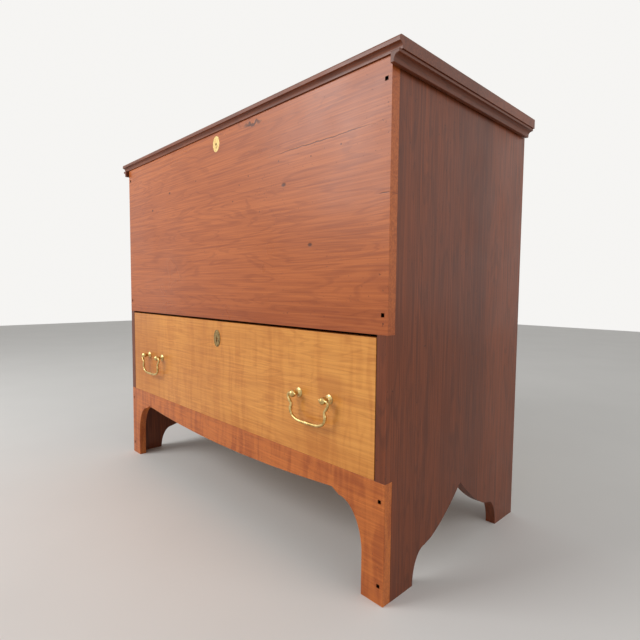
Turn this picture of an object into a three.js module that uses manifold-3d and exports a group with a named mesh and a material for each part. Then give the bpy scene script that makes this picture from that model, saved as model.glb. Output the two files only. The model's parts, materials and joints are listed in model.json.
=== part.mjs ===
// A mule chest: a lidded chest with one long drawer below, on bootjack sides and a bracket base.
// Millimetres, +Z up, the front faces -Y. The origin is at the middle of the footprint, on the floor.

import * as THREE from 'three';
import { mergeVertices } from 'three/addons/utils/BufferGeometryUtils.js';
import Module from 'manifold-3d';

const wasm = await Module();
wasm.setup();

// Overall sizes
const caseWidth = 950;
const caseDepth = 455;
const caseHeight = 827;

// Boards
const sideThick = 20;
const frontThick = 18;
const backThick = 14;
const wellFloorThick = 14;
const lidThick = 18;
const lidFrontOverhang = 10;
const lidSideOverhang = 20;
const baseHeight = 195;
const drawerOpeningHeight = 228;
const wellFloorRise = 2;
const housingDepth = 6;
const backRabbet = 10;
const backBottom = 100;

// Bracket base
const footWidth = 45;
const footRise = 68;
const bracketReach = 52;
const bracketTop = 148;
const bracketStep = 16;
const apronSpring = 157;
const apronDrop = 17;

// Bootjack cut-out of the side boards
const bootFootDepth = 78;
const bootLobeReach = 33;
const bootLobeRise = 58;
const bootCuspReach = 22;
const bootCuspRise = 6;
const bootApexHeight = 134;
const bootUpperBow = 12;

// Lid edge and end battens
const noseRadius = 4;
const noseFlat = 5;
const coveReach = 7;
const battenThick = 16;
const battenDrop = 16;
const battenFillet = 5;
const battenToe = 7;
const battenToeRise = 3;
const battenClearance = 2;
const battenSetback = 2;

// Runners and stops
const runnerWidth = 20;
const runnerHeight = 22;
const stopHeight = 30;

// Drawer
const drawerFrontThick = 20;
const drawerSideThick = 12;
const drawerBottomThick = 8;
const drawerBottomRise = 12;
const drawerGroove = 5;
const drawerLap = 10;
const drawerLength = 405;
const drawerTopGap = 5;
const drawerSideGap = 1.5;
const drawerSideDrop = 6;

// Handles
const handleFromCentre = 315;
const handleHeight = 305;
const postSpacing = 77;
const postOffset = 15;
const rosetteRadius = 9;
const rosetteThick = 2;
const neckRadius = 3.5;
const headRadius = 6.8;
const shankRadius = 2.5;
const nutSide = 11;
const nutThick = 4;
const shankBeyondNut = 2;
const bailRadius = 2.3;
const bailDrop = 46;
const bailHalfWidth = 51;
const bailTipInset = 9;

// Locks and escutcheons
const chestLockWidth = 70;
const chestLockHeight = 50;
const chestLockRecess = 10;
const drawerLockWidth = 60;
const drawerLockHeight = 42;
const drawerLockRecess = 10;
const boltWidth = 16;
const boltThick = 4;
const boltHeight = 20;
const chestBoltTravel = 7;
const drawerBoltTravel = 12;
const keeperWidth = 40;
const keeperDepth = 12;
const keeperThick = 2;
const chestPlateWidth = 26;
const chestPlateHeight = 34;
const chestPlateThick = 1.5;
const chestPlateFromTop = 24;
const drawerPlateWidth = 25;
const drawerPlateHeight = 38;
const drawerPlateThick = 1.2;
const drawerPlateFromTop = 38;
const keyholeRadius = 2.6;
const keyholeSlot = 2.6;
const keyholeDrop = 9;
const platePinRadius = 1.2;
const platePinLength = 10;
const platePinInset = 4;

// Hinges
const hingeFromCentre = 300;
const hingeWidth = 60;
const hingeLeafThick = 2;
const caseLeafHeight = 30;
const lidLeafHeight = 12;
const knuckleRadius = 4;
const knuckleStandoff = 4.3;
const hingeBore = 2.2;
const hingePinRadius = 1.8;
const hingePinOverhang = 1;
const leafClearance = 5;
const knuckleGap = 0.3;
const hingeScrewSpread = 18;
const screwHeadRadius = 3.4;
const screwShankRadius = 1.7;
const screwHeadDepth = 1.9;
const screwLength = 12.5;

// Cut nails
const nailShank = 3;
const nailHead = 6;
const nailHeadDepth = 1.6;
const frontNailLength = 50;
const nailEdge = 30;

// Fits
const fit = 0.3;
const overrun = 5;
const roundSides = 12;
const ovalSides = 12;
const bailSteps = 44;
const bailSectionSides = 4;

// Places worked out from the sizes above
const halfWidth = caseWidth / 2;
const openingTop = baseHeight + drawerOpeningHeight;
const wellFloorBottom = openingTop + wellFloorRise;
const lidBottom = caseHeight + fit;
const lidTop = lidBottom + lidThick;
const hingeAxisY = caseDepth + knuckleStandoff;
const frontmost = -(postOffset + headRadius - fit);
const rearmost = hingeAxisY + knuckleRadius;
const shiftY = -(frontmost + rearmost) / 2;

// Solids
function solidOf(geometry) {
  geometry.deleteAttribute('normal');
  geometry.deleteAttribute('uv');
  const merged = mergeVertices(geometry, fit / 1000);
  const vertProperties = new Float32Array(merged.attributes.position.array);
  const triVerts = new Uint32Array(merged.index.array);
  return new wasm.Manifold(new wasm.Mesh({ numProp: 3, vertProperties, triVerts }));
}

function block(x0, x1, y0, y1, z0, z1) {
  const geometry = new THREE.BoxGeometry(x1 - x0, y1 - y0, z1 - z0);
  geometry.translate((x0 + x1) / 2, (y0 + y1) / 2, (z0 + z1) / 2);
  return solidOf(geometry);
}

function extrudeShape(shape, length, curveSegments) {
  return new THREE.ExtrudeGeometry(shape, { depth: length, bevelEnabled: false, curveSegments });
}

// An outline in X and Z, carried along Y from y0 to y1
function frontPrism(shape, y0, y1, curveSegments = 8) {
  const geometry = extrudeShape(shape, y1 - y0, curveSegments);
  geometry.rotateX(Math.PI / 2);
  geometry.translate(0, y1, 0);
  return solidOf(geometry);
}

// An outline in Y and Z, carried along X from x0 to x1
function sidePrism(shape, x0, x1, curveSegments = 8) {
  const geometry = extrudeShape(shape, x1 - x0, curveSegments);
  const along = new THREE.Matrix4().makeBasis(
    new THREE.Vector3(0, 1, 0),
    new THREE.Vector3(0, 0, 1),
    new THREE.Vector3(1, 0, 0),
  );
  geometry.applyMatrix4(along);
  geometry.translate(x0, 0, 0);
  return solidOf(geometry);
}

function rodX(radius, x0, x1, y, z, sides = roundSides) {
  const geometry = new THREE.CylinderGeometry(radius, radius, x1 - x0, sides);
  geometry.rotateZ(Math.PI / 2);
  geometry.translate((x0 + x1) / 2, y, z);
  return solidOf(geometry);
}

function rodY(radius, y0, y1, x, z, sides = roundSides) {
  const geometry = new THREE.CylinderGeometry(radius, radius, y1 - y0, sides);
  geometry.translate(x, (y0 + y1) / 2, z);
  return solidOf(geometry);
}

// A turned piece whose profile gives radius and distance out of a face that looks along -Y
function turnedFromFront(profile, x, y, z) {
  const points = profile.map(([radius, out]) => new THREE.Vector2(radius, out));
  const geometry = new THREE.LatheGeometry(points, roundSides);
  geometry.rotateX(Math.PI);
  geometry.translate(x, y, z);
  return solidOf(geometry);
}

function joined(solids) {
  return solids.reduce((sum, next) => sum.add(next));
}

function cut(solid, cutters) {
  return cutters.reduce((rest, cutter) => rest.subtract(cutter), solid);
}

function ovalPlate(width, height, y0, y1, x, z) {
  const shape = new THREE.Shape();
  shape.absellipse(x, z, width / 2, height / 2, 0, Math.PI * 2);
  return frontPrism(shape, y0, y1, ovalSides);
}

function keyhole(y0, y1, x, z) {
  const slot = block(x - keyholeSlot / 2, x + keyholeSlot / 2, y0, y1, z - keyholeDrop, z);
  return rodY(keyholeRadius, y0, y1, x, z).add(slot);
}

// Materials
function finish(name, color, roughness, metalness = 0) {
  const material = new THREE.MeshStandardMaterial({ color, roughness, metalness });
  material.name = name;
  return material;
}

const sidePine = finish('side_pine', 0x4a2a20, 0.5);
const frontPine = finish('front_pine', 0xb5683c, 0.42);
const basePine = finish('base_pine', 0xb8642f, 0.42);
const lidPine = finish('lid_pine', 0x5a3026, 0.4);
const drawerMaple = finish('drawer_maple', 0xd08f4c, 0.4);
const innerPine = finish('inner_pine', 0xa9855c, 0.75);
const brass = finish('brass', 0xb08d4a, 0.35, 0.9);
const darkBrass = finish('dark_brass', 0x6e5a34, 0.5, 0.8);
const iron = finish('iron', 0x3a3430, 0.6, 0.7);

const chest = new THREE.Group();
chest.position.y = shiftY;

function place(name, solid, material) {
  const made = solid.getMesh();
  const geometry = new THREE.BufferGeometry();
  geometry.setAttribute('position', new THREE.BufferAttribute(new Float32Array(made.vertProperties), 3));
  geometry.setIndex(new THREE.BufferAttribute(new Uint32Array(made.triVerts), 1));
  geometry.computeVertexNormals();
  const mesh = new THREE.Mesh(geometry, material);
  mesh.name = name;
  chest.add(mesh);
}

// Nails: a square shank and a square head, and the hole that clears both
function nailFrom(y, into, length, x, z, clear) {
  const shank = nailShank / 2 + clear;
  const head = nailHead / 2 + clear;
  const tip = y + into * (length + clear);
  const under = y + into * (nailHeadDepth + clear);
  const shankBlock = block(x - shank, x + shank, Math.min(y, tip), Math.max(y, tip), z - shank, z + shank);
  const headBlock = block(x - head, x + head, Math.min(y, under), Math.max(y, under), z - head, z + head);
  return shankBlock.add(headBlock);
}

const nailX = halfWidth - sideThick / 2;
const upperNailSpan = caseHeight - openingTop - 2 * nailEdge;
const upperNailCount = 2;
const upperNailHeights = Array.from(
  { length: upperNailCount },
  (_, i) => openingTop + nailEdge + (upperNailSpan * i) / (upperNailCount - 1),
);
const baseNailHeights = [nailEdge, baseHeight - nailEdge];
const frontNailPlaces = [...upperNailHeights, ...baseNailHeights].flatMap((z) => [
  [-nailX, z],
  [nailX, z],
]);
const frontNailHoles = frontNailPlaces.map(([x, z]) => nailFrom(0, 1, frontNailLength, x, z, fit));
const backMiddle = (backBottom + caseHeight) / 2;

// Side boards, notched for the two front boards and cut out below into two feet
function sideOutline() {
  const rear = caseDepth;
  const middle = rear / 2;
  const apex = bootApexHeight;
  const lobe = bootFootDepth + bootLobeReach;
  const cusp = lobe + bootCuspReach;
  const cuspHeight = bootLobeRise + bootCuspRise;
  const upperMiddle = (cusp + middle) / 2;
  const upperBow = (cuspHeight + apex) / 2 - bootUpperBow;
  const shape = new THREE.Shape();
  shape.moveTo(frontThick, 0);
  shape.lineTo(bootFootDepth, 0);
  shape.absellipse(lobe, 0, bootLobeReach, bootLobeRise, Math.PI, Math.PI / 2, true);
  shape.lineTo(cusp, cuspHeight);
  shape.quadraticCurveTo(upperMiddle, upperBow, middle, apex);
  shape.quadraticCurveTo(rear - upperMiddle, upperBow, rear - cusp, cuspHeight);
  shape.lineTo(rear - lobe, bootLobeRise);
  shape.absellipse(rear - lobe, 0, bootLobeReach, bootLobeRise, Math.PI / 2, 0, true);
  shape.lineTo(rear, 0);
  shape.lineTo(rear, caseHeight);
  shape.lineTo(frontThick, caseHeight);
  shape.lineTo(frontThick, openingTop);
  shape.lineTo(0, openingTop);
  shape.lineTo(0, baseHeight);
  shape.lineTo(frontThick, baseHeight);
  shape.closePath();
  return shape;
}

function sideBoard(sign) {
  const outer = sign * halfWidth;
  const inner = sign * (halfWidth - sideThick);
  const board = sidePrism(sideOutline(), Math.min(outer, inner), Math.max(outer, inner));
  const housingIn = inner + sign * (housingDepth + fit);
  const housingOut = inner - sign * overrun;
  const housing = block(
    Math.min(housingIn, housingOut),
    Math.max(housingIn, housingOut),
    frontThick - overrun,
    caseDepth - backThick,
    wellFloorBottom - fit,
    wellFloorBottom + wellFloorThick + fit,
  );
  const rabbetIn = inner + sign * (backRabbet + fit);
  const rabbet = block(
    Math.min(rabbetIn, housingOut),
    Math.max(rabbetIn, housingOut),
    caseDepth - backThick - fit,
    caseDepth + overrun,
    backBottom - fit,
    caseHeight + overrun,
  );
  return cut(board, [housing, rabbet, ...frontNailHoles]);
}

place('left_side_board', sideBoard(-1), sidePine);
place('right_side_board', sideBoard(1), sidePine);

// Upper front board, with the lock let into its back and a mortise for the drawer lock's bolt
const chestKeyZ = caseHeight - chestPlateFromTop;
const chestLockY0 = frontThick - chestLockRecess;
const boltY = chestLockY0 + chestLockRecess / 2;
const chestLockPocket = block(
  -chestLockWidth / 2 - fit,
  chestLockWidth / 2 + fit,
  chestLockY0 - fit,
  frontThick + overrun,
  caseHeight - chestLockHeight - fit,
  caseHeight + overrun,
);
const drawerBoltMortise = block(
  -boltWidth / 2 - 2 * fit,
  boltWidth / 2 + 2 * fit,
  boltY - boltThick / 2 + (drawerFrontThick - frontThick) - 2 * fit,
  boltY + boltThick / 2 + (drawerFrontThick - frontThick) + 2 * fit,
  openingTop - overrun,
  openingTop + drawerBoltTravel,
);
place(
  'upper_front_board',
  cut(block(-halfWidth, halfWidth, 0, frontThick, openingTop, caseHeight), [
    chestLockPocket,
    drawerBoltMortise,
    ovalPlate(chestPlateWidth + 2 * fit, chestPlateHeight + 2 * fit, -overrun, chestPlateThick + fit, 0, chestKeyZ),
    keyhole(-overrun, frontThick, 0, chestKeyZ),
    ...frontNailHoles,
  ]),
  frontPine,
);

// Base front board with its bracket feet and shallow apron
function baseOutline() {
  const inner = halfWidth - footWidth;
  const spring = inner - bracketReach - bracketStep;
  const shape = new THREE.Shape();
  shape.moveTo(-halfWidth, 0);
  shape.lineTo(-inner, 0);
  shape.lineTo(-inner, footRise);
  shape.absellipse(-inner + bracketReach, footRise, bracketReach, bracketTop - footRise, Math.PI, Math.PI / 2, true);
  shape.lineTo(-spring, apronSpring);
  shape.quadraticCurveTo(0, apronSpring - 2 * apronDrop, spring, apronSpring);
  shape.lineTo(inner - bracketReach, bracketTop);
  shape.absellipse(inner - bracketReach, footRise, bracketReach, bracketTop - footRise, Math.PI / 2, 0, true);
  shape.lineTo(inner, 0);
  shape.lineTo(halfWidth, 0);
  shape.lineTo(halfWidth, baseHeight);
  shape.lineTo(-halfWidth, baseHeight);
  shape.closePath();
  return shape;
}

place('base_front_board', cut(frontPrism(baseOutline(), 0, frontThick), frontNailHoles), basePine);

// Back boards in the rabbets, floor of the well in its housings
const backHalf = halfWidth - sideThick + backRabbet;
const screwProfile = [
  [0, -screwLength],
  [screwShankRadius, -screwLength],
  [screwShankRadius, -screwHeadDepth],
  [screwHeadRadius, 0],
  [0, 0],
];
const screwHoleProfile = [
  [0, -screwLength - fit],
  [screwShankRadius + fit, -screwLength - fit],
  [screwShankRadius + fit, -screwHeadDepth],
  [screwHeadRadius + fit, 0],
  [screwHeadRadius + fit, fit],
  [0, fit],
];
const leafFace = caseDepth + hingeLeafThick;
const caseScrewZ = caseHeight - leafClearance - caseLeafHeight / 2;
const lidScrewZ = caseHeight + leafClearance + lidLeafHeight / 2;

function screwAt(profile, x, z) {
  const turned = turnedFromFront(profile, 0, 0, 0);
  return turned.rotate([0, 0, 180]).translate([x, leafFace, z]);
}

const hingeScrewXs = [-hingeFromCentre, hingeFromCentre].flatMap((x) => [
  x - hingeScrewSpread,
  x + hingeScrewSpread,
]);
const caseScrewHoles = hingeScrewXs.map((x) => screwAt(screwHoleProfile, x, caseScrewZ));
const lidScrewHoles = hingeScrewXs.map((x) => screwAt(screwHoleProfile, x, lidScrewZ));

function backBoard(z0, z1) {
  const board = block(-backHalf, backHalf, caseDepth - backThick, caseDepth, z0, z1);
  return cut(board, caseScrewHoles);
}

place('lower_back_board', backBoard(backBottom, backMiddle - fit), innerPine);
place('upper_back_board', backBoard(backMiddle, caseHeight), innerPine);
const wellHalf = halfWidth - sideThick + housingDepth;
place(
  'well_floor_board',
  block(-wellHalf, wellHalf, frontThick, caseDepth - backThick - fit, wellFloorBottom, wellFloorBottom + wellFloorThick),
  innerPine,
);

// Runners under the drawer's sides, and the stops at their rear
for (const [word, sign] of [['left', -1], ['right', 1]]) {
  const outer = sign * (halfWidth - sideThick);
  const inner = outer - sign * runnerWidth;
  const x0 = Math.min(outer, inner);
  const x1 = Math.max(outer, inner);
  const rear = caseDepth - backThick;
  place(`${word}_drawer_runner`, block(x0, x1, frontThick, rear, baseHeight - runnerHeight, baseHeight), innerPine);
  place(
    `${word}_drawer_stop`,
    block(x0, x1, drawerLength + fit, rear, baseHeight, baseHeight + stopHeight),
    innerPine,
  );
}

frontNailPlaces.forEach(([x, z], i) => {
  place(`front_nail_${i + 1}`, nailFrom(0, 1, frontNailLength, x, z, 0), iron);
});

// Lid with its rounded nose and cove, and a mortise for the chest lock's bolt
function lidOutline() {
  const front = -lidFrontOverhang;
  const flatBottom = lidTop - noseRadius - noseFlat;
  const shape = new THREE.Shape();
  shape.moveTo(caseDepth, lidBottom);
  shape.lineTo(caseDepth, lidTop);
  shape.lineTo(front + noseRadius, lidTop);
  shape.absarc(front + noseRadius, lidTop - noseRadius, noseRadius, Math.PI / 2, Math.PI, false);
  shape.lineTo(front, flatBottom);
  shape.quadraticCurveTo(front + coveReach, flatBottom, front + coveReach, lidBottom);
  shape.closePath();
  return shape;
}

const keeperY = boltY;
const keeperPocket = block(
  -keeperWidth / 2 - fit,
  keeperWidth / 2 + fit,
  keeperY - keeperDepth / 2 - fit,
  keeperY + keeperDepth / 2 + fit,
  lidBottom - overrun,
  lidBottom + keeperThick + fit,
);
const boltClear = 2 * fit;
const keeperHole = block(
  -boltWidth / 2 - boltClear,
  boltWidth / 2 + boltClear,
  boltY - boltThick / 2 - boltClear,
  boltY + boltThick / 2 + boltClear,
  lidBottom - overrun,
  lidBottom + chestBoltTravel + boltClear,
);
place(
  'lid_board',
  cut(sidePrism(lidOutline(), -halfWidth - lidSideOverhang, halfWidth + lidSideOverhang), [
    keeperPocket,
    keeperHole,
    ...lidScrewHoles,
  ]),
  lidPine,
);
place(
  'chest_lock_keeper',
  block(
    -keeperWidth / 2,
    keeperWidth / 2,
    keeperY - keeperDepth / 2,
    keeperY + keeperDepth / 2,
    lidBottom,
    lidBottom + keeperThick,
  ).subtract(keeperHole),
  brass,
);

// Moulded battens under the lid's ends, clear of the side boards
function battenOutline(sign) {
  const inner = halfWidth + battenClearance;
  const at = (out, up) => [sign * (inner + out), lidBottom + up];
  const shape = new THREE.Shape();
  shape.moveTo(...at(0, 0));
  shape.lineTo(...at(battenThick, 0));
  shape.lineTo(...at(battenThick, -battenFillet));
  shape.quadraticCurveTo(...at(battenToe, -battenFillet), ...at(battenToe, -battenDrop + battenToeRise));
  shape.lineTo(...at(battenToe, -battenDrop));
  shape.lineTo(...at(0, -battenDrop));
  shape.closePath();
  return shape;
}

for (const [word, sign] of [['left', -1], ['right', 1]]) {
  place(
    `${word}_lid_batten`,
    frontPrism(battenOutline(sign), -lidFrontOverhang + battenSetback, caseDepth - battenSetback),
    lidPine,
  );
}

// Hinges on the back: each has a case leaf, a lid leaf and a pin
function knuckle(x0, x1) {
  return rodX(knuckleRadius, x0 + knuckleGap / 2, x1 - knuckleGap / 2, hingeAxisY, caseHeight);
}

function hingeTab(x0, x1, z0, z1) {
  const gap = knuckleGap / 2;
  return block(x0 + gap, x1 - gap, caseDepth, leafFace, z0, z1);
}

for (const [word, sign] of [['left', -1], ['right', 1]]) {
  const x = sign * hingeFromCentre;
  const third = hingeWidth / 3;
  const x0 = x - hingeWidth / 2;
  const x3 = x + hingeWidth / 2;
  const bore = rodX(hingeBore, x0 - overrun, x3 + overrun, hingeAxisY, caseHeight);
  const caseTop = caseHeight - leafClearance;
  const lidLow = caseHeight + leafClearance;
  const caseLeaf = joined([
    block(x0, x3, caseDepth, leafFace, caseTop - caseLeafHeight, caseTop),
    hingeTab(x0, x0 + third, caseTop, caseHeight),
    hingeTab(x3 - third, x3, caseTop, caseHeight),
    knuckle(x0, x0 + third),
    knuckle(x3 - third, x3),
  ]);
  const lidLeaf = joined([
    block(x0, x3, caseDepth, leafFace, lidLow, lidLow + lidLeafHeight),
    hingeTab(x0 + third, x3 - third, caseHeight, lidLow),
    knuckle(x0 + third, x3 - third),
  ]);
  place(`${word}_hinge_case_leaf`, cut(caseLeaf, [bore, ...caseScrewHoles]), iron);
  place(`${word}_hinge_lid_leaf`, cut(lidLeaf, [bore, ...lidScrewHoles]), iron);
  place(
    `${word}_hinge_pin`,
    rodX(hingePinRadius, x0 - hingePinOverhang, x3 + hingePinOverhang, hingeAxisY, caseHeight),
    iron,
  );
}
hingeScrewXs.forEach((x, i) => {
  place(`hinge_case_screw_${i + 1}`, screwAt(screwProfile, x, caseScrewZ), iron);
  place(`hinge_lid_screw_${i + 1}`, screwAt(screwProfile, x, lidScrewZ), iron);
});

// Locks: a case with a slot for the bolt, and the bolt, which slides straight up
function lockCase(width, height, y0, depth, top, centreY) {
  const slot = block(
    -boltWidth / 2 - fit,
    boltWidth / 2 + fit,
    centreY - boltThick / 2 - fit,
    centreY + boltThick / 2 + fit,
    top - boltHeight - 2 * fit,
    top + overrun,
  );
  return block(-width / 2, width / 2, y0, y0 + depth, top - height, top).subtract(slot);
}

function lockBolt(top, centreY) {
  return block(
    -boltWidth / 2,
    boltWidth / 2,
    centreY - boltThick / 2,
    centreY + boltThick / 2,
    top - boltHeight - fit,
    top - fit,
  );
}

place(
  'chest_lock_case',
  lockCase(chestLockWidth, chestLockHeight, chestLockY0, chestLockRecess, caseHeight, boltY),
  darkBrass,
);
place('chest_lock_bolt', lockBolt(caseHeight, boltY), iron);
place(
  'chest_escutcheon',
  ovalPlate(chestPlateWidth, chestPlateHeight, 0, chestPlateThick, 0, chestKeyZ).subtract(
    keyhole(-overrun, frontThick, 0, chestKeyZ),
  ),
  brass,
);

// Drawer
const drawerBottomZ = baseHeight + fit;
const drawerTopZ = openingTop - drawerTopGap;
const drawerHalf = halfWidth - sideThick - drawerSideGap;
const drawerKeyZ = drawerTopZ - drawerPlateFromTop;
const drawerLockY0 = drawerFrontThick - drawerLockRecess;
const drawerBoltY = drawerLockY0 + drawerLockRecess / 2;
const postXs = [-handleFromCentre, handleFromCentre].flatMap((x) => [x - postSpacing / 2, x + postSpacing / 2]);
const shankHoles = postXs.map((x) =>
  rodY(shankRadius + fit, -overrun, drawerFrontThick + overrun, x, handleHeight),
);
const platePinZs = [drawerKeyZ - drawerPlateHeight / 2 + platePinInset, drawerKeyZ + drawerPlateHeight / 2 - platePinInset];
const platePinHoles = platePinZs.map((z) =>
  rodY(platePinRadius + fit, -overrun, platePinLength + fit, 0, z),
);
const grooveZ0 = drawerBottomZ + drawerBottomRise;
const grooveZ1 = grooveZ0 + drawerBottomThick;
const drawerSideTop = drawerTopZ - drawerSideDrop;
const bottomHalf = drawerHalf - drawerSideThick + drawerGroove;
const bottomGroove = block(
  -bottomHalf - fit,
  bottomHalf + fit,
  drawerFrontThick - drawerGroove - fit,
  drawerLength + overrun,
  grooveZ0 - fit,
  grooveZ1 + fit,
);
const sideRabbets = [-1, 1].map((sign) => {
  const outer = sign * (drawerHalf + overrun);
  const inner = sign * (drawerHalf - drawerSideThick - fit);
  return block(
    Math.min(outer, inner),
    Math.max(outer, inner),
    drawerFrontThick - drawerLap - fit,
    drawerFrontThick + overrun,
    drawerBottomZ - overrun,
    drawerTopZ + overrun,
  );
});
const drawerLockPocket = block(
  -drawerLockWidth / 2 - fit,
  drawerLockWidth / 2 + fit,
  drawerLockY0 - fit,
  drawerFrontThick + overrun,
  drawerTopZ - drawerLockHeight - fit,
  drawerTopZ + overrun,
);
place(
  'drawer_front',
  cut(block(-drawerHalf, drawerHalf, 0, drawerFrontThick, drawerBottomZ, drawerTopZ), [
    ...shankHoles,
    ...platePinHoles,
    ...sideRabbets,
    bottomGroove,
    drawerLockPocket,
    keyhole(-overrun, drawerFrontThick, 0, drawerKeyZ),
  ]),
  drawerMaple,
);
for (const [word, sign] of [['left', -1], ['right', 1]]) {
  const outer = sign * drawerHalf;
  const inner = sign * (drawerHalf - drawerSideThick);
  const side = block(
    Math.min(outer, inner),
    Math.max(outer, inner),
    drawerFrontThick - drawerLap,
    drawerLength,
    drawerBottomZ,
    drawerSideTop,
  );
  place(`drawer_${word}_side`, side.subtract(bottomGroove), innerPine);
}
const drawerInnerHalf = drawerHalf - drawerSideThick;
place(
  'drawer_back',
  block(
    -drawerInnerHalf,
    drawerInnerHalf,
    drawerLength - drawerSideThick,
    drawerLength,
    grooveZ1 + fit,
    drawerSideTop,
  ),
  innerPine,
);
place(
  'drawer_bottom',
  block(-bottomHalf, bottomHalf, drawerFrontThick - drawerGroove, drawerLength, grooveZ0, grooveZ1),
  innerPine,
);
place(
  'drawer_lock_case',
  lockCase(drawerLockWidth, drawerLockHeight, drawerLockY0, drawerLockRecess, drawerTopZ, drawerBoltY),
  darkBrass,
);
place('drawer_lock_bolt', lockBolt(drawerTopZ, drawerBoltY), iron);
place(
  'drawer_escutcheon',
  cut(ovalPlate(drawerPlateWidth, drawerPlateHeight, -drawerPlateThick, 0, 0, drawerKeyZ), [
    keyhole(-overrun, drawerFrontThick, 0, drawerKeyZ),
    ...platePinHoles,
  ]),
  darkBrass,
);
platePinZs.forEach((z, i) => {
  place(`drawer_escutcheon_pin_${i + 1}`, rodY(platePinRadius, -drawerPlateThick - fit, platePinLength, 0, z), brass);
});

// Handles: turned posts bored across for the bail, nuts behind the drawer front
const shankEnd = drawerFrontThick + nutThick + shankBeyondNut;
const postProfile = [
  [0, -shankEnd],
  [shankRadius, -shankEnd],
  [shankRadius, 0],
  [rosetteRadius, 0],
  [rosetteRadius, rosetteThick / 2],
  [rosetteRadius - rosetteThick, rosetteThick],
  [neckRadius, rosetteThick * 2],
  [neckRadius, postOffset - headRadius],
  [headRadius * Math.SQRT1_2, postOffset - headRadius * Math.SQRT1_2],
  [headRadius, postOffset],
  [headRadius * Math.SQRT1_2, postOffset + headRadius * Math.SQRT1_2],
  [0, postOffset + headRadius - fit],
];

function handlePost(x) {
  const bore = rodX(bailRadius + fit, x - 2 * headRadius, x + 2 * headRadius, -postOffset, handleHeight);
  return turnedFromFront(postProfile, x, 0, handleHeight).subtract(bore);
}

function nut(x) {
  const half = nutSide / 2;
  return block(
    x - half,
    x + half,
    drawerFrontThick,
    drawerFrontThick + nutThick,
    handleHeight - half,
    handleHeight + half,
  );
}

// Half of the swan-neck bail, as shares of its half width and of its drop
const swanNeckShares = [
  [0.96, 0.02],
  [1.0, 0.12],
  [0.93, 0.27],
  [0.84, 0.42],
  [0.87, 0.6],
  [0.82, 0.8],
  [0.64, 0.94],
  [0.36, 1.0],
];

function bail(centreX) {
  const at = (x, z) => new THREE.Vector3(centreX + x, -postOffset, handleHeight + z);
  const right = swanNeckShares.map(([across, down]) => [bailHalfWidth * across, -bailDrop * down]);
  const left = [...right].reverse().map(([x, z]) => [-x, z]);
  const tip = postSpacing / 2 - bailTipInset;
  const shoulder = postSpacing / 2 + headRadius + fit;
  const path = new THREE.CurvePath();
  path.add(new THREE.LineCurve3(at(tip, 0), at(shoulder, 0)));
  const neck = [[shoulder, 0], ...right, [0, -bailDrop], ...left, [-shoulder, 0]].map(([x, z]) => at(x, z));
  path.add(new THREE.CatmullRomCurve3(neck));
  path.add(new THREE.LineCurve3(at(-shoulder, 0), at(-tip, 0)));
  const section = new THREE.Shape();
  section.absarc(0, 0, bailRadius, 0, Math.PI * 2);
  const geometry = new THREE.ExtrudeGeometry(section, {
    steps: bailSteps,
    curveSegments: bailSectionSides,
    bevelEnabled: false,
    extrudePath: path,
  });
  return solidOf(geometry);
}

for (const [word, sign] of [['left', -1], ['right', 1]]) {
  const x = sign * handleFromCentre;
  place(`${word}_handle_left_post`, handlePost(x - postSpacing / 2), brass);
  place(`${word}_handle_right_post`, handlePost(x + postSpacing / 2), brass);
  place(`${word}_handle_bail`, bail(x), brass);
}
postXs.forEach((x, i) => {
  place(`handle_nut_${i + 1}`, cut(nut(x), shankHoles), darkBrass);
});

export default chest;
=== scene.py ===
import json
import math
import bmesh
import bpy
from mathutils import Matrix, Vector


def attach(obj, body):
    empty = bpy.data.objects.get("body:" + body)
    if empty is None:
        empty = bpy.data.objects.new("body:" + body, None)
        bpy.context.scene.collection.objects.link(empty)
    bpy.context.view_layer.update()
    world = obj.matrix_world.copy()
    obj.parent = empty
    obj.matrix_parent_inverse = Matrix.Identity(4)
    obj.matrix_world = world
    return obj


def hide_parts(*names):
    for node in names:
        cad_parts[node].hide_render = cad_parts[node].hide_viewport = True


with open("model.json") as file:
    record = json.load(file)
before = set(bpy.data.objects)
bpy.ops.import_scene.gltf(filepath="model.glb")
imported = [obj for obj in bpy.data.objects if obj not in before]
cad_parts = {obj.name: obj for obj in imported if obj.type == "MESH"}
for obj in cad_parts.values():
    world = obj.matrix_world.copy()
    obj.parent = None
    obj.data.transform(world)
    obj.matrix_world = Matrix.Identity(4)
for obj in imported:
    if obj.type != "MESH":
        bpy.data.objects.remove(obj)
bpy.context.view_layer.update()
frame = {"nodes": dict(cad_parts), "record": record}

# Sizes in metres, as the construction gives them
HANDLE_FROM_CENTRE = 0.315
HANDLE_HEIGHT = 0.305
POST_SPACING = 0.077
POST_OFFSET = 0.015
FRONT_FACE_Y = -0.2209
ROSETTE_RADIUS = 0.009
HEAD_RADIUS = 0.0068
NECK_RADIUS = 0.0035
SHANK_RADIUS = 0.0025
SHANK_END = 0.026
BAIL_RADIUS = 0.0023
BAIL_DROP = 0.046
BAIL_HALF_WIDTH = 0.051
BAIL_TIP_INSET = 0.009
BOARD_EASE = 0.0009
METAL_EASE = 0.0003
MERGE_DISTANCE = 0.000005

# Camera at the photograph's viewing angle
CAMERA_PLACE = (0.8986, -0.7684, 0.4915)
CAMERA_YAW = math.radians(-46.09)
CAMERA_PITCH = math.radians(3.83)
CAMERA_ROLL = math.radians(-0.5)
CAMERA_LENS = 26.04

body_of = {
    node: body
    for body, nodes in frame["record"]["behaviour"]["bodies"].items()
    for node in nodes
}
slot_of = {part["node"]: part["material_slot"] for part in frame["record"]["subparts"]}


# Node helpers
def put(tree, kind, inputs=None, **settings):
    made = tree.nodes.new(kind)
    for name, value in settings.items():
        setattr(made, name, value)
    for name, value in (inputs or {}).items():
        if isinstance(value, bpy.types.NodeSocket):
            tree.links.new(value, made.inputs[name])
        else:
            made.inputs[name].default_value = value
    return made


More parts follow.
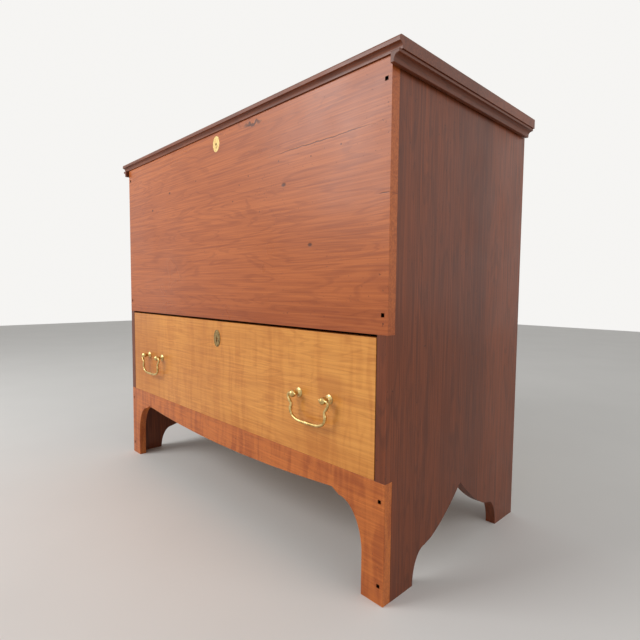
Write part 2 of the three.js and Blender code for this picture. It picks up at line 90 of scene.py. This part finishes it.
def mixed(tree, factor, first, second, blend="MIX"):
    made = tree.nodes.new("ShaderNodeMix")
    made.data_type = "RGBA"
    made.blend_type = blend
    made.clamp_factor = True
    for socket, value in ((made.inputs[0], factor), (made.inputs[6], first), (made.inputs[7], second)):
        if isinstance(value, bpy.types.NodeSocket):
            tree.links.new(value, socket)
        else:
            socket.default_value = value
    return made.outputs[2]


def ranged(tree, value, low, high, to_low=0.0, to_high=1.0):
    inputs = {"Value": value, "From Min": low, "From Max": high, "To Min": to_low, "To Max": to_high}
    return put(tree, "ShaderNodeMapRange", inputs).outputs["Result"]


def noise(tree, vector, scale, detail=3.0, roughness=0.5, distortion=0.0):
    inputs = {
        "Vector": vector, "Scale": scale, "Detail": detail,
        "Roughness": roughness, "Distortion": distortion,
    }
    return put(tree, "ShaderNodeTexNoise", inputs).outputs["Fac"]


def mapped(tree, vector, move=(0, 0, 0), turn=(0, 0, 0), scale=(1, 1, 1)):
    inputs = {"Vector": vector, "Location": move, "Rotation": turn, "Scale": scale}
    return put(tree, "ShaderNodeMapping", inputs).outputs["Vector"]


def colour(red, green, blue):
    return (red, green, blue, 1.0)


# A mark on the face of a board: a knot or hole is round, a crack is a long thin line
def round_mark(tree, place, x, z, radius, squash=1.0):
    flat = mapped(tree, place, move=(-x, 0, -z * squash), scale=(1, 0, squash))
    reach = put(tree, "ShaderNodeVectorMath", {0: flat}, operation="LENGTH").outputs["Value"]
    return ranged(tree, reach, radius, radius * 0.45)


def line_mark(tree, place, x, z, half_length, half_width, slope):
    lean = math.atan(slope)
    moved = mapped(tree, place, move=(-x, 0, -z))
    turned = mapped(tree, moved, turn=(0, lean, 0), scale=(half_width / half_length, 0, 1))
    wander = noise(tree, place, 60.0, 2.0)
    parts = put(tree, "ShaderNodeSeparateXYZ", {"Vector": turned})
    shifted = put(
        tree, "ShaderNodeMath",
        {0: parts.outputs["Z"], 1: ranged(tree, wander, 0.3, 0.7, -half_width, half_width)},
        operation="ADD",
    ).outputs["Value"]
    joined = put(tree, "ShaderNodeCombineXYZ", {"X": parts.outputs["X"], "Z": shifted})
    reach = put(tree, "ShaderNodeVectorMath", {0: joined.outputs["Vector"]}, operation="LENGTH").outputs["Value"]
    return ranged(tree, reach, half_width, half_width * 0.5)


# Shellacked wood: broad tone, growth bands, fine fibres, small specks, curl and marks
GRAIN_SCALES = {"X": (0.35, 3.0, 3.0), "Z": (3.0, 3.0, 0.35), "Y": (3.0, 0.35, 3.0)}


def wood(name, deep, middle, pale, grain, seed, curl=0.0, specks=0.5, gloss=0.36,
         knots=(), cracks=(), holes=(), shades=()):
    material = bpy.data.materials.new(name)
    material.use_nodes = True
    tree = material.node_tree
    shader = tree.nodes["Principled BSDF"]
    place = put(tree, "ShaderNodeTexCoord").outputs["Object"]
    moved = mapped(tree, place, move=(seed * 1.37, seed * 0.71, seed * 2.13))
    stretched = mapped(tree, moved, scale=GRAIN_SCALES[grain])
    broad = noise(tree, stretched, 1.6, 3.0, 0.55, 0.6)
    tone = mixed(tree, ranged(tree, broad, 0.32, 0.68), deep, pale)
    tone = mixed(tree, 0.55, tone, middle)
    bands_at = put(tree, "ShaderNodeVectorMath", {0: stretched, 1: (seed, 0.0, seed)}, operation="ADD").outputs["Vector"]
    rings = noise(tree, bands_at, 9.0, 2.0, 0.5, 1.4)
    ring_lines = put(tree, "ShaderNodeMath", {0: rings, 1: 34.0}, operation="MULTIPLY").outputs["Value"]
    ring_wave = put(tree, "ShaderNodeMath", {0: ring_lines}, operation="SINE").outputs["Value"]
    tone = mixed(tree, ranged(tree, ring_wave, 0.2, 1.0, 0.0, 0.34), tone, deep, "MIX")
    fibres = noise(tree, mapped(tree, moved, scale=tuple(part * part for part in GRAIN_SCALES[grain])), 34.0, 4.0, 0.7)
    tone = mixed(tree, ranged(tree, fibres, 0.42, 0.72, 0.0, 0.5), tone, deep, "MIX")
    tone = mixed(tree, ranged(tree, fibres, 0.5, 0.28, 0.0, 0.35), tone, pale, "MIX")
    if curl:
        across = {"X": (1, 1, 0.16), "Z": (0.16, 1, 1), "Y": (1, 1, 0.16)}[grain]
        ripples = noise(tree, mapped(tree, moved, scale=across), 62.0, 2.0, 0.45, 0.7)
        tone = mixed(tree, ranged(tree, ripples, 0.4, 0.62, 0.0, curl), tone, pale, "MIX")
        tone = mixed(tree, ranged(tree, ripples, 0.5, 0.3, 0.0, curl), tone, deep, "MIX")
    for x, z, radius, squash, amount in shades:
        shade = round_mark(tree, place, x, z, radius, squash)
        tone = mixed(tree, ranged(tree, shade, 0.0, 1.0, 0.0, amount), tone, deep)
    dirt = noise(tree, moved, 240.0, 2.0, 0.6)
    patches = noise(tree, moved, 9.0, 2.0)
    fleck = put(tree, "ShaderNodeMath", {0: dirt, 1: ranged(tree, patches, 0.4, 0.7, -0.03, 0.03)}, operation="ADD")
    marks = [ranged(tree, fleck.outputs["Value"], 0.69, 0.76, 0.0, specks)]
    marks += [round_mark(tree, place, x, z, radius, 1.7) for x, z, radius in knots]
    marks += [line_mark(tree, place, *crack) for crack in cracks]
    marks += [round_mark(tree, place, x, z, radius) for x, z, radius in holes]
    total = marks[0]
    for mark in marks[1:]:
        total = put(tree, "ShaderNodeMath", {0: total, 1: mark}, operation="MAXIMUM").outputs["Value"]
    stain = colour(deep[0] * 0.22, deep[1] * 0.2, deep[2] * 0.2)
    tone = mixed(tree, ranged(tree, total, 0.0, 1.0, 0.0, 0.86), tone, stain)
    tree.links.new(tone, shader.inputs["Base Color"])
    smears = noise(tree, moved, 5.0, 3.0, 0.6)
    tree.links.new(ranged(tree, smears, 0.3, 0.7, gloss - 0.07, gloss + 0.1), shader.inputs["Roughness"])
    relief = put(tree, "ShaderNodeMath", {0: fibres, 1: total}, operation="SUBTRACT").outputs["Value"]
    bump = put(tree, "ShaderNodeBump", {"Strength": 0.22, "Distance": 0.0006, "Height": relief})
    tree.links.new(bump.outputs["Normal"], shader.inputs["Normal"])
    shader.inputs["Specular IOR Level"].default_value = 0.32
    shader.inputs["Coat Weight"].default_value = 0.08
    shader.inputs["Coat Roughness"].default_value = 0.3
    return material


def metal(name, bright, dull, gloss, metallic=1.0, pitting=0.25):
    material = bpy.data.materials.new(name)
    material.use_nodes = True
    tree = material.node_tree
    shader = tree.nodes["Principled BSDF"]
    place = put(tree, "ShaderNodeTexCoord").outputs["Object"]
    tarnish = noise(tree, place, 140.0, 4.0, 0.65)
    wear = noise(tree, place, 900.0, 2.0, 0.5)
    tone = mixed(tree, ranged(tree, tarnish, 0.38, 0.66), bright, dull)
    tree.links.new(tone, shader.inputs["Base Color"])
    tree.links.new(ranged(tree, tarnish, 0.3, 0.7, gloss, gloss + 0.22), shader.inputs["Roughness"])
    bump = put(tree, "ShaderNodeBump", {"Strength": pitting, "Distance": 0.0002, "Height": wear})
    tree.links.new(bump.outputs["Normal"], shader.inputs["Normal"])
    shader.inputs["Metallic"].default_value = metallic
    return material


# Marks of the upper front board, from the photograph: x, z and radius, or a crack's centre and run
FRONT_KNOTS = ((-0.321, 0.697, 0.006), (-0.221, 0.729, 0.006), (0.231, 0.681, 0.008), (0.303, 0.568, 0.007))
FRONT_HOLES = (
    (0.375, 0.723, 0.0022), (0.304, 0.718, 0.002), (0.216, 0.726, 0.002), (0.120, 0.715, 0.0022),
    (0.088, 0.702, 0.002), (-0.089, 0.738, 0.0022), (0.064, 0.672, 0.0022), (0.466, 0.44, 0.002),
)
FRONT_CRACKS = (
    (0.322, 0.739, 0.155, 0.0011, -0.061),
    (0.465, 0.634, 0.013, 0.0012, 0.0),
    (0.135, 0.813, 0.034, 0.0045, 0.1),
)

# Darker figure of the drawer front: x, z, radius, how much wider than tall, and strength
DRAWER_SHADES = (
    (-0.400, 0.300, 0.170, 0.8, 0.42), (-0.080, 0.300, 0.120, 0.5, 0.16), (0.357, 0.327, 0.045, 1.6, 0.42),
    (0.300, 0.235, 0.120, 3.0, 0.22), (0.120, 0.395, 0.160, 5.0, 0.20),
)

finishes = {
    "upper_front_board": wood(
        "front_pine_finish", colour(0.25, 0.047, 0.011), colour(0.50, 0.122, 0.027), colour(0.66, 0.20, 0.05),
        "X", 1.0, specks=0.7, gloss=0.34, knots=FRONT_KNOTS, cracks=FRONT_CRACKS, holes=FRONT_HOLES,
    ),
    "base_front_board": wood(
        "base_pine_finish", colour(0.27, 0.050, 0.010), colour(0.55, 0.135, 0.024), colour(0.74, 0.23, 0.045),
        "X", 4.0, curl=0.32, specks=0.8, gloss=0.36,
    ),
    "drawer_front": wood(
        "drawer_maple_finish", colour(0.46, 0.135, 0.022), colour(0.72, 0.27, 0.046), colour(0.88, 0.41, 0.095),
        "X", 7.0, curl=0.2, specks=0.3, gloss=0.34, shades=DRAWER_SHADES,
    ),
    "left_side_board": wood(
        "left_side_finish", colour(0.055, 0.013, 0.005), colour(0.17, 0.037, 0.011), colour(0.30, 0.072, 0.020),
        "Z", 11.0, specks=0.8,
    ),
    "right_side_board": wood(
        "right_side_finish", colour(0.055, 0.013, 0.005), colour(0.17, 0.037, 0.011), colour(0.30, 0.072, 0.020),
        "Z", 13.0, specks=0.8,
    ),
    "lid_board": wood(
        "lid_finish", colour(0.065, 0.016, 0.007), colour(0.17, 0.042, 0.016), colour(0.30, 0.09, 0.038),
        "X", 17.0, specks=0.6, gloss=0.4,
    ),
    "lid_batten": wood(
        "batten_finish", colour(0.055, 0.014, 0.006), colour(0.15, 0.037, 0.013), colour(0.25, 0.07, 0.028),
        "Y", 19.0, specks=0.5, gloss=0.4,
    ),
    "inner": wood(
        "inner_pine_finish", colour(0.22, 0.12, 0.05), colour(0.40, 0.24, 0.11), colour(0.52, 0.34, 0.17),
        "X", 23.0, specks=0.4, gloss=0.68,
    ),
    "inner_depth": wood(
        "inner_depth_finish", colour(0.22, 0.12, 0.05), colour(0.40, 0.24, 0.11), colour(0.52, 0.34, 0.17),
        "Y", 29.0, specks=0.4, gloss=0.68,
    ),
    "brass": metal("old_brass_finish", colour(0.80, 0.60, 0.26), colour(0.42, 0.27, 0.09), 0.22),
    "dark_brass": metal("tarnished_brass_finish", colour(0.42, 0.29, 0.12), colour(0.13, 0.085, 0.035), 0.36),
    "front_nails": metal("sunk_nail_finish", colour(0.10, 0.035, 0.016), colour(0.05, 0.018, 0.009), 0.6, 0.0, 0.4),
    "iron": metal("dark_iron_finish", colour(0.10, 0.085, 0.075), colour(0.035, 0.026, 0.02), 0.5, 0.8, 0.5),
}

DEPTHWISE = ("drawer_left_side", "drawer_right_side", "left_drawer_runner", "right_drawer_runner")


def finish_of(node):
    if node in finishes:
        return finishes[node]
    if node.endswith("lid_batten"):
        return finishes["lid_batten"]
    if node.startswith("front_nail"):
        return finishes["front_nails"]
    if node in DEPTHWISE:
        return finishes["inner_depth"]
    return finishes.get(slot_of[node], finishes["inner"])


# Pieces
def finish_piece(bm, name, node, smooth=False):
    bmesh.ops.remove_doubles(bm, verts=bm.verts, dist=MERGE_DISTANCE)
    bmesh.ops.recalc_face_normals(bm, faces=bm.faces)
    mesh = bpy.data.meshes.new(name)
    bm.to_mesh(mesh)
    bm.free()
    for polygon in mesh.polygons:
        polygon.use_smooth = smooth
    return keep_piece(mesh, name, node)


def keep_piece(mesh, name, node):
    piece = bpy.data.objects.new(name, mesh)
    bpy.context.scene.collection.objects.link(piece)
    mesh.materials.clear()
    mesh.materials.append(finish_of(node))
    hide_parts(node)
    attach(piece, body_of[node])
    return piece


def eased_board(node, ease):
    """The board with its arrises worn round."""
    bm = bmesh.new()
    bm.from_mesh(frame["nodes"][node].data)
    bmesh.ops.remove_doubles(bm, verts=bm.verts, dist=MERGE_DISTANCE)
    bmesh.ops.dissolve_limit(bm, angle_limit=math.radians(1), verts=bm.verts, edges=bm.edges)
    sharp = [
        edge for edge in bm.edges
        if len(edge.link_faces) == 2 and edge.calc_face_angle(0) > math.radians(35)
    ]
    bmesh.ops.bevel(
        bm, geom=sharp, offset=ease, offset_type="OFFSET", affect="EDGES",
        segments=2, profile=0.5, material=-1, clamp_overlap=True,
    )
    return finish_piece(bm, f"{node}_eased", node)


def turned_post(node, x):
    """A post with its round rosette, waisted neck and ball head, through which the bail passes."""
    profile = [
        (0.0, -SHANK_END), (SHANK_RADIUS, -SHANK_END), (SHANK_RADIUS, 0.0), (ROSETTE_RADIUS, 0.0),
        (ROSETTE_RADIUS, 0.0008), (ROSETTE_RADIUS * 0.93, 0.0014), (ROSETTE_RADIUS * 0.76, 0.0017),
        (ROSETTE_RADIUS * 0.66, 0.0026), (NECK_RADIUS * 1.2, 0.0038), (NECK_RADIUS, 0.0056),
        (NECK_RADIUS, POST_OFFSET - HEAD_RADIUS),
    ]
    turns = 10
    for i in range(2, turns):
        angle = math.pi * (i / turns) - math.pi / 2
        profile.append((HEAD_RADIUS * math.cos(angle), POST_OFFSET + HEAD_RADIUS * math.sin(angle)))
    profile.append((0.0, POST_OFFSET + HEAD_RADIUS))
    bm = bmesh.new()
    line = [bm.verts.new((x + radius, FRONT_FACE_Y - out, HANDLE_HEIGHT)) for radius, out in profile]
    for first, second in zip(line, line[1:]):
        bm.edges.new((first, second))
    bmesh.ops.spin(
        bm, geom=bm.verts[:] + bm.edges[:], cent=(x, 0.0, HANDLE_HEIGHT), axis=(0.0, 1.0, 0.0),
        dvec=(0.0, 0.0, 0.0), angle=math.tau, steps=40, use_merge=True, use_duplicate=False,
    )
    return finish_piece(bm, f"{node}_turned", node, smooth=True)


SWAN_NECK_SHARES = (
    (0.96, 0.02), (1.0, 0.12), (0.93, 0.27), (0.84, 0.42),
    (0.87, 0.60), (0.82, 0.80), (0.64, 0.94), (0.36, 1.0),
)
BAIL_THICKNESS_SHARES = (1.0, 1.1, 1.3, 1.05, 1.45, 1.05, 1.2, 1.3)


def swan_bail(node, centre):
    """The bail, thicker at the kinks of its swan necks and along its bottom."""
    y = FRONT_FACE_Y - POST_OFFSET
    right = [
        (BAIL_HALF_WIDTH * across, -BAIL_DROP * down, thick)
        for (across, down), thick in zip(SWAN_NECK_SHARES, BAIL_THICKNESS_SHARES)
    ]
    tip = POST_SPACING / 2 - BAIL_TIP_INSET
    shoulder = POST_SPACING / 2 + HEAD_RADIUS
    start = [(tip, 0.0, 0.9), (shoulder, 0.0, 1.0)]
    half = start + right
    points = half + [(0.0, -BAIL_DROP, 1.35)] + [(-x, z, thick) for x, z, thick in reversed(half)]
    data = bpy.data.curves.new(f"{node}_line", "CURVE")
    data.dimensions = "3D"
    data.bevel_depth = BAIL_RADIUS
    data.bevel_resolution = 5
    data.use_fill_caps = True
    spline = data.splines.new("BEZIER")
    spline.resolution_u = 8
    spline.bezier_points.add(len(points) - 1)
    for knot, (x, z, thick) in zip(spline.bezier_points, points):
        knot.co = (centre + x, y, HANDLE_HEIGHT + z)
        knot.handle_left_type = "AUTO"
        knot.handle_right_type = "AUTO"
        knot.radius = thick
    line = bpy.data.objects.new(f"{node}_line", data)
    bpy.context.scene.collection.objects.link(line)
    mesh = bpy.data.meshes.new_from_object(line.evaluated_get(bpy.context.evaluated_depsgraph_get()))
    bpy.data.objects.remove(line)
    mesh.name = f"{node}_swan"
    for polygon in mesh.polygons:
        polygon.use_smooth = True
    return keep_piece(mesh, f"{node}_swan", node)


EASED_BOARDS = (
    "left_side_board", "right_side_board", "upper_front_board", "base_front_board", "lid_board",
    "left_lid_batten", "right_lid_batten", "drawer_front",
)
for node in EASED_BOARDS:
    eased_board(node, BOARD_EASE)
for node in ("chest_escutcheon", "drawer_escutcheon"):
    eased_board(node, METAL_EASE)
for side, sign in (("left", -1), ("right", 1)):
    centre = sign * HANDLE_FROM_CENTRE
    turned_post(f"{side}_handle_left_post", centre - POST_SPACING / 2)
    turned_post(f"{side}_handle_right_post", centre + POST_SPACING / 2)
    swan_bail(f"{side}_handle_bail", centre)

# The other pieces keep their meshes and take a finish
for node, piece in frame["nodes"].items():
    piece.data.materials.clear()
    piece.data.materials.append(finish_of(node))


# Floor, light and camera
def plain(name, tone, roughness):
    material = bpy.data.materials.new(name)
    material.use_nodes = True
    tree = material.node_tree
    shader = tree.nodes["Principled BSDF"]
    place = put(tree, "ShaderNodeTexCoord").outputs["Object"]
    soft = noise(tree, place, 3.0)
    tint = tuple(part * 0.97 for part in tone[:3]) + (1.0,)
    tree.links.new(mixed(tree, ranged(tree, soft, 0.3, 0.7), tone, tint), shader.inputs["Base Color"])
    shader.inputs["Roughness"].default_value = roughness
    return material


FLOOR_HALF = 6.0
floor_bm = bmesh.new()
bmesh.ops.create_grid(floor_bm, x_segments=1, y_segments=1, size=FLOOR_HALF)
floor_mesh = bpy.data.meshes.new("floor")
floor_bm.to_mesh(floor_mesh)
floor_bm.free()
floor_mesh.materials.append(plain("pale_floor", colour(0.78, 0.77, 0.75), 0.7))
floor = bpy.data.objects.new("floor", floor_mesh)
bpy.context.scene.collection.objects.link(floor)

world = bpy.data.worlds.new("pale_room")
bpy.context.scene.world = world
world.use_nodes = True
sky = world.node_tree
sky.nodes.clear()
path = put(sky, "ShaderNodeLightPath")
seen = put(sky, "ShaderNodeMath", {0: path.outputs["Is Camera Ray"], 1: path.outputs["Is Glossy Ray"]}, operation="MAXIMUM")
seen = put(sky, "ShaderNodeMath", {0: seen.outputs[0], 1: path.outputs["Is Transmission Ray"]}, operation="MAXIMUM")
ROOM_LIGHT = 0.42
strength = ranged(sky, seen.outputs[0], 0.0, 1.0, ROOM_LIGHT, 0.92)
room = put(sky, "ShaderNodeBackground", {"Color": colour(1.0, 0.99, 0.97), "Strength": strength})
exit_node = put(sky, "ShaderNodeOutputWorld")
sky.links.new(room.outputs["Background"], exit_node.inputs["Surface"])


def soft_lamp(name, place, target, size, power):
    data = bpy.data.lights.new(name, "AREA")
    data.shape = "SQUARE"
    data.size = size
    data.energy = power
    lamp = bpy.data.objects.new(name, data)
    lamp.location = place
    lamp.rotation_euler = (Vector(target) - Vector(place)).to_track_quat("-Z", "Y").to_euler()
    bpy.context.scene.collection.objects.link(lamp)


soft_lamp("window_light", (-1.3, -2.5, 1.9), (0.0, -0.2, 0.4), 1.6, 52.0)
soft_lamp("side_fill", (2.6, 0.4, 1.6), (0.4, 0.0, 0.4), 1.6, 16.0)

forward = Vector((
    math.sin(CAMERA_YAW) * math.cos(CAMERA_PITCH),
    math.cos(CAMERA_YAW) * math.cos(CAMERA_PITCH),
    -math.sin(CAMERA_PITCH),
))
level_right = Vector((math.cos(CAMERA_YAW), -math.sin(CAMERA_YAW), 0.0))
level_down = forward.cross(level_right)
right = level_right * math.cos(CAMERA_ROLL) + level_down * math.sin(CAMERA_ROLL)
down = level_down * math.cos(CAMERA_ROLL) - level_right * math.sin(CAMERA_ROLL)
axes = Matrix((right, -down, -forward)).transposed().to_4x4()
camera_data = bpy.data.cameras.new("camera")
camera_data.lens = CAMERA_LENS
camera_data.sensor_width = 36.0
camera_data.clip_start = 0.01
camera = bpy.data.objects.new("camera", camera_data)
camera.matrix_world = Matrix.Translation(Vector(CAMERA_PLACE)) @ axes
bpy.context.scene.collection.objects.link(camera)
bpy.context.scene.camera = camera
bpy.context.scene.view_settings.view_transform = "Standard"
